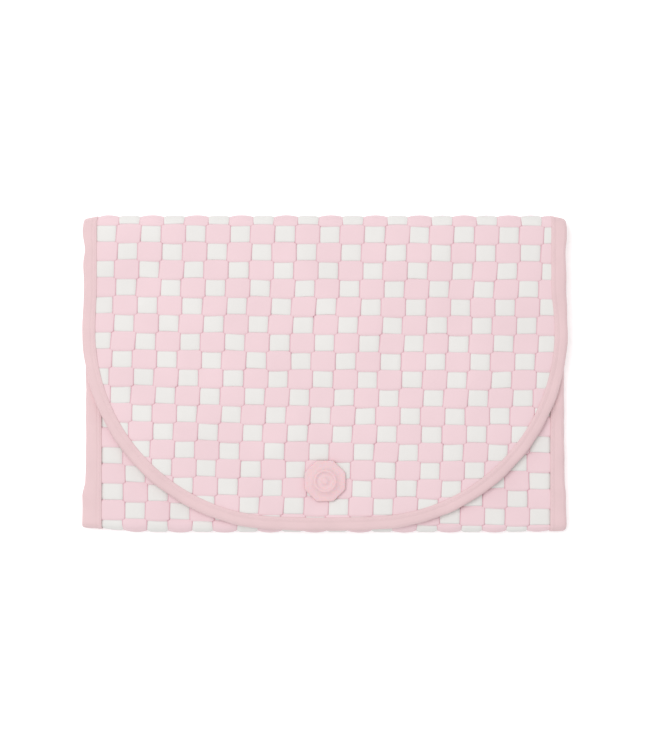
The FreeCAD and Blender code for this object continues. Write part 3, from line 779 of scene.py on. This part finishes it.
def weft_tube(row):
    """One white strap across the strip, from side to side."""
    middle, pitch = columns_at(row_place(np.array([0.0]), np.array([float(row)])))
    first, last = (np.array([-STRAP_END, STRAP_END]) - middle) / pitch
    x = between_ends(middle + crossing_steps(first, last) * pitch, -STRAP_END, STRAP_END)
    s = row_place(x, np.full_like(x, row)) + drift(x, (2, row))
    middle, pitch = columns_at(s)
    swing = np.cos(math.pi * ((x - middle) / pitch + row))
    under = 1 - smoothstep((swing - WEFT_NARROW_BELOW) / WEFT_NARROW_FADE)
    half = WEFT_HALF_WIDTH - WEFT_NARROWING * under
    ring_s = s[:, None] + RING_ACROSS * half[:, None]
    ring_x = np.broadcast_to(x[:, None], ring_s.shape)
    level = WEAVE_HEIGHT * over_under(swing, WEFT_BIAS, WEFT_STEEPNESS)
    ring_n = level[:, None] + RING_RISE * STRAP_HALF_THICKNESS
    return ring_x, ring_s, ring_n


def panel_tube(rings):
    """Rings cut off under the side tapes and the front's edge tape; None where little is left."""
    x, s, n = rings
    cut = np.clip(x, -STRAP_END, STRAP_END)
    s = np.maximum(s, FRONT_STRAP_END)
    inside = np.abs(x - cut).min(axis=1) < CUT_TOLERANCE
    if inside.sum() < 2 or np.ptp(s) < WEFT_HALF_WIDTH:
        return None
    from_edge = np.minimum(HALF_WIDTH - np.abs(cut), s - FRONT_END)
    return place(cut, s, press_under_tape(n, from_edge))[inside]


def flap_tube(rings, cut_x, cut_s):
    """Rings moved in to the flap's rounded outline, under its tape; None where little is left."""
    x, s, n = rings
    moved = np.abs(x - cut_x) + np.abs(s - cut_s)
    uncut = moved.min(axis=1) < CUT_TOLERANCE
    if uncut.sum() < 2:
        return None
    kept = uncut | np.roll(uncut, 1) | np.roll(uncut, -1)
    depth = edge_depth(cut_x, TOP_TANGENT - cut_s)
    return place(cut_x, cut_s, press_under_tape(n, depth))[kept]


def flap_warp(rings):
    """A pink strap of the flap ends at the outline below it."""
    x, s, _ = rings
    cut_x = np.clip(x, -STRAP_END, STRAP_END)
    cut_s = np.minimum(s, TOP_TANGENT - flap_lowest(cut_x, STRAP_INSET))
    return flap_tube(rings, cut_x, cut_s)


def flap_weft(rings):
    """A white strap of the flap ends at the outline to its two sides."""
    x, s, _ = rings
    cut_s = np.minimum(s, FLAP_LENGTH - STRAP_INSET)
    reach = flap_reach(TOP_TANGENT - cut_s, STRAP_INSET)
    return flap_tube(rings, np.clip(x, -reach, reach), cut_s)


def weave(name):
    """The warp and weft straps of one stretch of the strip, as two pieces."""
    stretch = STRETCHES[name]
    cut_warp, cut_weft = (flap_warp, flap_weft) if name == "flap" else (panel_tube, panel_tube)
    s_low = max(stretch.s_low, FRONT_STRAP_END)
    warps = [cut_warp(warp_tube(column, stretch.s_high, s_low)) for column in stretch.columns]
    wefts = [cut_weft(weft_tube(row)) for row in stretch.rows]
    made = []
    for kind, tubes, material in (("warp", warps, warp_knit), ("weft", wefts, weft_knit)):
        tubes = [tube for tube in tubes if tube is not None]
        piece = tubes_object(f"{name}_{kind}_webbing", tubes, material)
        # The edge value drives the painted shade on the straps' folded edges.
        edge = np.tile(RING_EDGE_SHADE, len(piece.data.vertices) // len(RING_EDGE_SHADE))
        piece.data.attributes.new("edge", "FLOAT", "POINT").data.foreach_set("value", edge)
        ride_for(piece, stretch.body, f"{kind}_strap", f"{name}_{kind}_straps")
        made.append(piece)
    return made


# -------- binding tape


def tape_profile(width):
    """The tape folded over the panel's edge, as (way in from the edge, height), all round."""
    middle, half = (TAPE_TOP + TAPE_LOW) / 2, (TAPE_TOP - TAPE_LOW) / 2
    nose = [math.pi / 2 + math.pi * i / NOSE_STEPS for i in range(NOSE_STEPS + 1)]
    outer = [(TAPE_NOSE * (1 + math.cos(a)), middle + half * math.sin(a)) for a in nose]
    inner = [
        (TAPE_NOSE + (TAPE_NOSE - TAPE_WALL) * math.cos(a), middle + (half - TAPE_WALL) * math.sin(a))
        for a in nose[::2]
    ]
    seam = width - TAPE_SEAM
    top = [
        (width, TAPE_TOP - TAPE_WALL - 0.5 * MM),
        (width + 0.05 * MM, TAPE_TOP - 0.6 * TAPE_WALL),
        (width - 0.1 * MM, TAPE_TOP - 0.25 * TAPE_WALL),
        (width - 0.4 * MM, TAPE_TOP - 0.05 * TAPE_WALL),
        (width - STITCH_INSET, TAPE_TOP - 0.02 * MM),
        (seam + 0.5 * MM, TAPE_TOP + 0.02 * MM),
        (seam + 0.15 * MM, TAPE_TOP - 0.16 * MM),
        (seam - 0.25 * MM, TAPE_TOP + 0.05 * MM),
        (seam - 1.2 * MM, TAPE_TOP + 0.08 * MM),
    ]
    bottom = [
        (width - 2 * MM, TAPE_LOW),
        (width - 0.4 * MM, TAPE_LOW + 0.05 * TAPE_WALL),
        (width, TAPE_LOW + 0.5 * TAPE_WALL),
        (width, TAPE_LOW + TAPE_WALL),
    ]
    return np.array(top + outer + bottom + inner[::-1])


def ripple(length, size, wave, phase=0.0):
    return size * np.sin(length / wave + phase)


def side_wave(s, side):
    """How far a side edge wanders outwards along the strip."""
    from_top = np.maximum(np.maximum(s, BACK_START - s), 0)
    from_bottom = np.maximum(np.maximum(s - BACK_END, FRONT_START - s), 0)
    bulges = [size * np.exp(-(((from_top - at) / width) ** 2)) for at, width, size in TOP_BULGES]
    left = np.less(side, 0)
    bulge = TOP_BULGE * sum(bulges) * np.where(left, 1.0, RIGHT_BULGE_SHARE)
    flare = BOTTOM_FLARE * (1 - smoothstep((from_bottom - FLARE_LENGTH) / FLARE_FADE))
    flare = flare * np.where(left, 1.0, RIGHT_FLARE_SHARE)
    waist = WAIST * np.exp(-(((s - FRONT_START + WAIST_PLACE) / WAIST_LENGTH) ** 2))
    ripples = ripple(s, 0.12 * MM, 6.1 * MM, side) + ripple(s, 0.1 * MM, 3.7 * MM)
    return bulge + flare + waist + ripples + EDGE_INSET


def profiles_for(widths):
    """The tape's profile at each of many widths."""
    narrow = tape_profile(TAPE_WIDTH)
    broad = tape_profile(2 * TAPE_WIDTH)
    share = widths / TAPE_WIDTH - 1
    return narrow + (broad - narrow) * share[:, None, None]


def tucked(profile, share):
    """The profile drawn in a little, where a tape's end is tucked into the next tape."""
    depth = profile[..., 0] + share[:, None] * (TUCK - TUCK_SHARE * profile[..., 0])
    middle = (TAPE_TOP + LINING_OUT) / 2
    height = profile[..., 1] - share[:, None] * TUCK_SHARE * (profile[..., 1] - middle)
    return np.stack([depth, height], axis=-1)


def faded_in(depth, width):
    """From 1 at the tape's outer edge to 0 at its inner one."""
    return 1 - smoothstep(depth / width)


def tape_width(side, s):
    """The left tape is narrower on the flap than on the front."""
    left = LEFT_TAPE_WIDTH + (FRONT_LEFT_TAPE_WIDTH - LEFT_TAPE_WIDTH) * smoothstep(s / FRONT_START)
    return left if side < 0 else np.full_like(s, RIGHT_TAPE_WIDTH)


def side_tape(side, s_high, s_low, lap_high=0.0, lap_low=0.0):
    """A stretch of tape along one side of the strip, with laps tucked in beyond its ends."""
    length = s_high + lap_high - s_low + lap_low
    s = np.linspace(s_high + lap_high, s_low - lap_low, max(3, math.ceil(length / TAPE_STEP) + 1))
    width = tape_width(side, s)
    beyond = np.maximum(s - s_high, s_low - s)
    profile = tucked(profiles_for(width), smoothstep(beyond / LAP_FADE))
    depth = profile[..., 0]
    wave = side_wave(s, side)[:, None] * faded_in(depth, width[:, None])
    tube = place(side * (HALF_WIDTH - depth + wave), s[:, None], profile[..., 1])
    return tube if side > 0 else tube[:, ::-1]


def flap_edge_path(step, lap=0.0):
    """The flap's outline from its left top corner round to the right: points and inward ways."""
    straight = TOP_TANGENT + lap - CORNER_Y
    arc = CORNER_RADIUS * (math.pi / 2 - CORNER_TURN)
    bottom = BOTTOM_EDGE_RADIUS * CORNER_TURN
    total = 2 * (straight + arc + bottom)
    along = np.linspace(0, total, math.ceil(total / step) + 1)
    half = np.minimum(along, total - along)
    side = np.where(along < total / 2, -1.0, 1.0)
    turn = np.clip((half - straight) / CORNER_RADIUS, 0, math.pi / 2 - CORNER_TURN)
    sweep = np.clip((half - straight - arc) / BOTTOM_EDGE_RADIUS, 0, CORNER_TURN)
    angle = np.where(half > straight + arc, math.pi / 2 - CORNER_TURN + sweep, turn)
    out_x, out_y = side * np.cos(angle), -np.sin(angle)
    regions = [half <= straight, half <= straight + arc]
    on_side = side * HALF_WIDTH, TOP_TANGENT + lap - half
    on_corner = side * CORNER_X + CORNER_RADIUS * out_x, CORNER_Y + CORNER_RADIUS * out_y
    on_bottom = BOTTOM_EDGE_RADIUS * out_x, BOTTOM_EDGE_CENTRE + BOTTOM_EDGE_RADIUS * out_y
    x, y = (np.select(regions, parts[:2], parts[2]) for parts in zip(on_side, on_corner, on_bottom))
    return along, np.stack([x, y], axis=-1), -np.stack([out_x, out_y], axis=-1)


def straightness(points):
    """From 0 at the flap's round corners to 1 up its two straight sides."""
    return smoothstep((points[:, 1] - CORNER_Y) / WIDENING_LENGTH)


def flap_tape_width(points):
    """The flap's tape is wider down its two straight sides."""
    at_side = np.where(points[:, 0] < 0, LEFT_TAPE_WIDTH, RIGHT_TAPE_WIDTH)
    return TAPE_WIDTH + (at_side - TAPE_WIDTH) * straightness(points)


def flap_tape_tube():
    """The flap's tape, all round its outline, with a lap into the top fold at each end."""
    along, points, inward = flap_edge_path(TAPE_STEP, TAPE_LAP)
    side = np.where(points[:, 0] < 0, -1.0, 1.0)
    wave = side_wave(TOP_TANGENT - points[:, 1], side) * straightness(points)
    wave = wave + ripple(along, 0.12 * MM, 5.3 * MM) + ripple(along, 0.1 * MM, 3.1 * MM)
    width = flap_tape_width(points)
    profile = tucked(profiles_for(width), smoothstep((points[:, 1] - TOP_TANGENT) / LAP_FADE))
    depth = profile[..., 0] - wave[:, None] * faded_in(profile[..., 0], width[:, None])
    x = points[:, :1] + inward[:, :1] * depth
    y = points[:, 1:] + inward[:, 1:] * depth
    return place(x, TOP_TANGENT - y, profile[..., 1])


def stitch_tube(centre, way, up):
    """One stitch: a short capsule that lies along the seam."""
    way = way / np.linalg.norm(way)
    across = np.cross(up, way)
    around = [2 * math.pi * i / STITCH_SIDES for i in range(STITCH_SIDES)]
    rings = []
    for along, size in STITCH_STATIONS:
        base = centre + way * along * STITCH_LENGTH / 2 - up * STITCH_DIP * along**2
        radius = STITCH_RADIUS * size
        rings.append([base + radius * (across * math.cos(a) + up * math.sin(a)) for a in around])
    return np.array(rings)


def point_at(values, lengths, spot):
    """The point of a line, given at these lengths, at one spot along it."""
    return np.array([np.interp(spot, lengths, values[:, axis]) for axis in range(3)])


def stitches_on(line, ups):
    """Stitches along a line of points with the ways up at them."""
    lengths = np.concatenate([[0], np.cumsum(np.linalg.norm(np.diff(line, axis=0), axis=1))])
    tubes = []
    for spot in np.arange(STITCH_PITCH / 2, lengths[-1], STITCH_PITCH):
        ahead = point_at(line, lengths, spot + STITCH_LENGTH / 2)
        behind = point_at(line, lengths, spot - STITCH_LENGTH / 2)
        up = point_at(ups, lengths, spot)
        centre = point_at(line, lengths, spot)
        tubes.append(stitch_tube(centre, ahead - behind, up / np.linalg.norm(up)))
    return tubes


def side_stitches(side, s_high, s_low):
    """Stitches down one side of the strip."""
    s = np.linspace(s_high, s_low, max(3, math.ceil(abs(s_high - s_low) / STITCH_LINE_STEP)))
    x = side * (HALF_WIDTH - tape_width(side, s) + STITCH_INSET)
    line = place(x, s, STITCH_LEVEL)
    return stitches_on(line, place(x, s, STITCH_LEVEL + MM) - line)


def flap_stitches():
    """Stitches all round the flap."""
    _, points, inward = flap_edge_path(STITCH_LINE_STEP)
    depth = flap_tape_width(points) - STITCH_INSET
    seam = points + inward * depth[:, None]
    line = place(seam[:, 0], TOP_TANGENT - seam[:, 1], STITCH_LEVEL)
    return stitches_on(line, np.broadcast_to(UP, line.shape))


def front_edge_span(steps):
    """Places across the front's free edge, between its two side tapes."""
    return np.linspace(-HALF_WIDTH + FRONT_LEFT_TAPE_WIDTH, HALF_WIDTH - RIGHT_TAPE_WIDTH, steps)


def front_edge_tube():
    """The tape up the left side of the front panel, along its free edge and down the right."""
    edge = tape_profile(TAPE_WIDTH)
    edge_s = FRONT_END + edge[:, 0]
    turn_s = FRONT_END + TAPE_WIDTH + CORNER_ROOM
    left, right = (side_tape(side, FRONT_SPLIT, turn_s) for _, side in SIDES)
    corners = []
    for _, side in SIDES:
        depth = profiles_for(tape_width(side, np.array([turn_s])))[0][:, 0]
        corner_x = side * (HALF_WIDTH - depth + EDGE_INSET * faded_in(edge_s, TAPE_WIDTH))
        corners.append(place(corner_x, edge_s, edge[:, 1])[None])
    x = front_edge_span(FRONT_EDGE_STEPS)[:, None]
    along = place(x, edge_s + ripple(x, 0.1 * MM, 4.7 * MM), edge[:, 1])
    return np.concatenate([left[:, ::-1], corners[0], along, corners[1], right[::-1]])


def front_edge_stitches():
    """Stitches along both sides and the free edge of the front's upper half."""
    seams = []
    for _, side in SIDES:
        seams += side_stitches(side, FRONT_SPLIT, FRONT_END + TAPE_WIDTH)
    seam_s = FRONT_END + TAPE_WIDTH - STITCH_INSET
    line = place(front_edge_span(FRONT_STITCH_LINE_STEPS), seam_s, STITCH_LEVEL)
    return seams + stitches_on(line, np.broadcast_to(UP, line.shape))


def tape_piece(name, tubes, seams, body, node):
    """A binding tape with its stitches."""
    tape = tubes_object(f"{name}_tape", tubes, tape_twill)
    ride_for(tape, body, "binding_tape", node)
    seam = tubes_object(f"{name}_stitches", seams, thread)
    ride_for(seam, body, "binding_tape")
    return [tape, seam]


def build_tapes():
    """The tapes along every edge, with their stitches: the pieces of each stretch."""
    made = {}
    for panel, laps in (("back", (TAPE_LAP, TAPE_LAP)), ("front_lower", (TAPE_LAP, 0.0))):
        body, s_high, s_low = STRETCHES[panel][:3]
        made[panel] = []
        for label, side in SIDES:
            name = f"{panel}_{label}_binding"
            tubes = [side_tape(side, s_high, s_low, *laps)]
            made[panel] += tape_piece(name, tubes, side_stitches(side, s_high, s_low), body, name)
    for fold in FOLDS:
        body, s_high, s_low = STRETCHES[fold][:3]
        tubes = [side_tape(side, s_high, s_low) for _, side in SIDES]
        seams = [stitch for _, side in SIDES for stitch in side_stitches(side, s_high, s_low)]
        made[fold] = tape_piece(f"{fold}_binding", tubes, seams, body, f"{fold}_bindings")
    name = "front_upper_binding"
    made["front_upper"] = tape_piece(name, [front_edge_tube()], front_edge_stitches(), "front", name)
    name = "flap_binding"
    made["flap"] = tape_piece(name, [flap_tape_tube()], flap_stitches(), "flap", name)
    return made


# -------- lining and padding


def panel_grid(s_high, s_low, inset, step):
    """A grid over a stretch of the strip, moved in from its sides by inset."""
    half = HALF_WIDTH - inset
    s = np.linspace(s_high, s_low, max(5, math.ceil((s_high - s_low) / step) + 1))
    x = np.linspace(-half, half, math.ceil(2 * half / step) + 1)
    return np.meshgrid(x, s)


def flap_grid(inset, step):
    """A grid over the flap's outline, moved in by inset, finer towards its sides."""
    half = HALF_WIDTH - inset
    across = np.sin(np.linspace(-math.pi / 2, math.pi / 2, math.ceil(2.4 * half / step)))
    down = np.linspace(0, 1, math.ceil(FLAP_LENGTH / step) + 1)
    x, share = np.meshgrid(across * half * OUTLINE_MARGIN, down)
    return x, share * (TOP_TANGENT - flap_lowest(x, inset))


def stretch_grid(name, inset):
    """A grid over a panel or fold, moved in from its edges by inset."""
    stretch = STRETCHES[name]
    if name == "flap":
        return flap_grid(inset, PANEL_STEP)
    step = FOLD_STEP if name in FOLDS else PANEL_STEP
    return panel_grid(stretch.s_high, lining_end(name), inset, step)


def lining_end(name):
    """Where a stretch's lining ends: under the front's edge tape, or at the next stretch."""
    return max(STRETCHES[name].s_low, FRONT_END + LINING_INSET)


def puckers(x, s):
    """Soft puckers of cloth that is stretched over foam."""
    wave = np.sin(x / (17 * MM) + 2.1 * np.sin(s / (41 * MM)))
    wave = wave * np.sin(s / (23 * MM) + 1.7 * np.sin(x / (53 * MM)))
    return PUCKER * (wave + 0.35 * np.sin(x / (7 * MM) + s / (9 * MM)))


def build_lining(name):
    """The lining of a panel, which rides on it, or of a fold, which is laid round the fold."""
    x, s = stretch_grid(name, LINING_INSET)
    relief = 0.0 if name in FOLDS else puckers(x, s)
    low, high = LINING_OUT + LINING_SINK + relief, LINING_IN - LAYER_GAP
    lining = slab_object(f"{name}_lining_cloth", x, s, low, high, lining_cloth)
    if name in FOLDS:
        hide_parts(f"{name}_lining")
        bend_lining(lining)
    else:
        ride_for(lining, STRETCHES[name].body, "lining", f"{name}_lining")
    return lining


def build_padding(name):
    """The padding between the lining and the straps of a panel or fold."""
    x, s = stretch_grid(name, PADDING_INSET)
    padding = slab_object(f"{name}_padding_foam", x, s, LINING_IN, PADDING_OUT - PADDING_SINK, foam)
    ride_for(padding, STRETCHES[name].body, "padding", f"{name}_padding")
    if name in FOLDS:
        flatten(padding)


def declare_lining(name):
    """Does nothing, whatever the stretch."""
    if name == "flap":
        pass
    elif name in FOLDS:
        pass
    else:
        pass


def build_layers(tapes):
    """The lining and padding of every stretch; the bottom fold's lining and tapes are added to the
    back's list of pieces.
    """
    for name in ("flap", "bottom_fold", "back", "front_lower", "front_upper", "top_fold"):
        lining = build_lining(name)
        build_padding(name)
        if name == "bottom_fold":
            tapes["back"] += [lining, *tapes["bottom_fold"]]
        else:
            declare_lining(name)


# -------- the fold pieces' own meshes


def flatten(piece):
    """Gives a fold's piece a mesh of its own."""
    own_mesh(piece)


def bend_lining(lining):
    """Bakes the fold lining's placement into its mesh."""
    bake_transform(lining)


# -------- badge and press stud


def badge_radius(turn, flat):
    """A soft octagon, from the distance of its flat sides."""
    eighth = math.pi / 4
    share = np.abs((turn + eighth / 2) % eighth - eighth / 2) / (eighth / 2)
    corner = BADGE_CORNER * share**2 * (1 - BADGE_CORNER_ROUNDING * share**8)
    uneven = 0.006 * np.cos(turn - 2.1) + 0.005 * np.cos(3 * turn)
    return flat * (1 + corner + uneven)


def badge_outline(face):
    """The plate's side and rim, as (share of its radius, height)."""
    floor = BADGE_LOW.z
    side = [(0.97, floor), (1.0, floor + 0.4 * MM), (1.0, face - 0.55 * MM)]
    return side + [(0.99, face - 0.2 * MM), (0.965, face - 0.04 * MM), (0.93, face), (0.8, face)]


def badge_marks(face):
    """The raised ring and dot on the plate, as (radius, height)."""
    top = face + BADGE_RELIEF
    marks = []
    for radius, wall in zip(BADGE_RING, (BADGE_RING_WALL, -BADGE_RING_WALL)):
        step = [(radius + wall, face), (radius + wall * 0.3, face + BADGE_RELIEF * 0.9), (radius, top)]
        marks += step if wall > 0 else step[::-1]
    dot = [(4.0 * MM, face), (2.2 * MM, face), (1.9 * MM, face + BADGE_RELIEF * 0.8)]
    return marks + dot + [(1.5 * MM, top), (0.1 * MM, top)]


def build_badge():
    """The moulded badge: a thick soft-edged plate with a raised ring and dot."""
    centre = (BADGE_LOW + BADGE_HIGH) / 2
    flat = (BADGE_HIGH.x - BADGE_LOW.x) / 2
    face = BADGE_HIGH.z - BADGE_RELIEF
    turns = np.linspace(0, 2 * math.pi, BADGE_POINTS, endpoint=False)
    rings = [(share * badge_radius(turns, flat), z) for share, z in badge_outline(face)]
    rings += [(np.full_like(turns, radius), z) for radius, z in badge_marks(face)]
    tube = []
    for radius, z in rings:
        x = centre.x + radius * np.cos(turns)
        y = centre.y + radius * np.sin(turns)
        tube.append(np.stack([x, y, np.full_like(turns, z)], axis=-1))
    badge = tubes_object("badge_moulding", [np.array(tube)], silicone)
    ride_for(badge, "flap", "badge", "badge")


def finish_snap():
    """The press stud's own CAD nodes stay, in metal."""
    for node in ("snap_stud", "stud_washer", "snap_socket", "snap_cap"):
        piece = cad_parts[node]
        piece.data.materials.clear()
        piece.data.materials.append(nickel)


# -------- camera, light and floor


def build_camera():
    """Straight above the closed pad, with the flap's free edge towards the viewer's feet."""
    data = bpy.data.cameras.new("camera")
    data.lens = LENS
    data.sensor_width = SENSOR
    camera = bpy.data.objects.new("camera", data)
    camera.location = (0, CAMERA_AIM, FLAP_Z + PICTURE_HEIGHT * LENS / SENSOR)
    bpy.context.scene.collection.objects.link(camera)
    bpy.context.scene.camera = camera


def build_key_light():
    """One large soft light, from above and a little to the left."""
    data = bpy.data.lights.new("key", "AREA")
    data.shape = "SQUARE"
    data.size = KEY_LIGHT_SIZE
    data.energy = KEY_LIGHT_POWER
    light = bpy.data.objects.new("key", data)
    light.location = KEY_LIGHT_PLACE
    light.rotation_euler = (-Vector(KEY_LIGHT_PLACE)).to_track_quat("-Z", "Y").to_euler()
    bpy.context.scene.collection.objects.link(light)


def build_world():
    """White light from all round."""
    bpy.context.scene.view_settings.view_transform = "Standard"
    world = bpy.data.worlds.new("studio")
    world.use_nodes = True
    background = world.node_tree.nodes["Background"]
    background.inputs["Color"].default_value = WHITE
    background.inputs["Strength"].default_value = WORLD_STRENGTH
    bpy.context.scene.world = world


def build_floor():
    steps = np.linspace(-FLOOR_REACH, FLOOR_REACH, FLOOR_LINES)
    x, y = np.meshgrid(steps, steps)
    points = np.stack([x, y, np.zeros_like(x)], axis=-1)
    _, quads = grid_quads(*x.shape)
    floor = mesh_object("floor", points, quads.reshape(-1, 4).tolist(), floor_material())


# -------- the whole scene

build_camera()
webbing = {name: weave(name) for name in STRETCHES}
fold_tapes = build_tapes()
for fold in FOLDS:
    for piece in webbing[fold]:
        flatten(piece)
    for piece in fold_tapes[fold]:
        flatten(piece)
build_layers(fold_tapes)
build_badge()
finish_snap()
build_world()
build_key_light()
build_floor()
